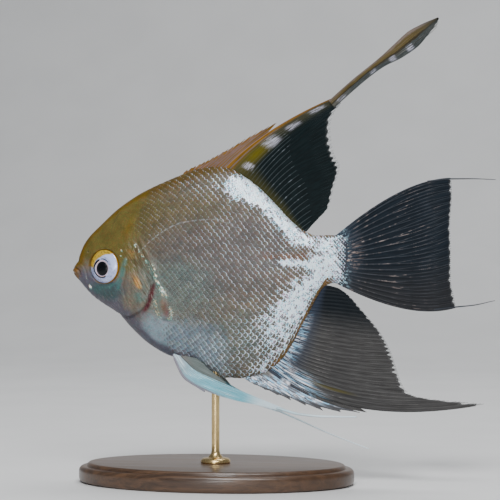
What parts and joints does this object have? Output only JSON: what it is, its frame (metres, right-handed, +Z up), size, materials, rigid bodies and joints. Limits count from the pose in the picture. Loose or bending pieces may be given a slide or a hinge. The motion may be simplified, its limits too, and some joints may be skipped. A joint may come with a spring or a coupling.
{
  "type": "freshwater angelfish",
  "caption": "Life-size still model of a silvery freshwater angelfish, fins spread, with scaled flanks and trailing fin filaments, held by one rod on an oval display base.",
  "frame": {"origin": "on the floor, under the middle of the whole model's box", "axes": "+Z up, -X towards the fish's snout, +Y towards the fish's right side"},
  "size_m": [0.128, 0.056, 0.1387],
  "materials": {
    "scaled_skin": "pearly",
    "bare_skin": "satin",
    "gill_cover": "pearly",
    "eye": "gloss",
    "smoky_fin": "satin",
    "gold_fin": "satin",
    "pelvic_fin": "satin",
    "stand_wood": "satin",
    "stand_metal": "satin"
  },
  "bodies": {
    "root": {"head": "bare_skin", "lower_jaw": "bare_skin", "breast": "bare_skin", "gill_cover_left": "gill_cover", "gill_cover_right": "gill_cover", "trunk": "scaled_skin", "hind_trunk": "scaled_skin", "tail_stock": "scaled_skin", "eye_left": "eye", "eye_right": "eye", "pectoral_base_left": "bare_skin", "pectoral_base_right": "bare_skin", "pectoral_fin_left": "smoky_fin", "pectoral_fin_right": "smoky_fin", "pelvic_fin_left": "pelvic_fin", "pelvic_fin_right": "pelvic_fin", "pelvic_filament_left": "pelvic_fin", "pelvic_filament_right": "pelvic_fin", "dorsal_fin_spines": "gold_fin", "dorsal_fin_rays": "smoky_fin", "dorsal_fin_streamer": "gold_fin", "anal_fin_spines": "scaled_skin", "anal_fin_rays": "smoky_fin", "anal_fin_streamer": "smoky_fin", "caudal_fin": "smoky_fin", "caudal_filament_top": "smoky_fin", "caudal_filament_bottom": "smoky_fin", "stand_base": "stand_wood", "stand_rod": "stand_metal"}
  },
  "joints": []
}
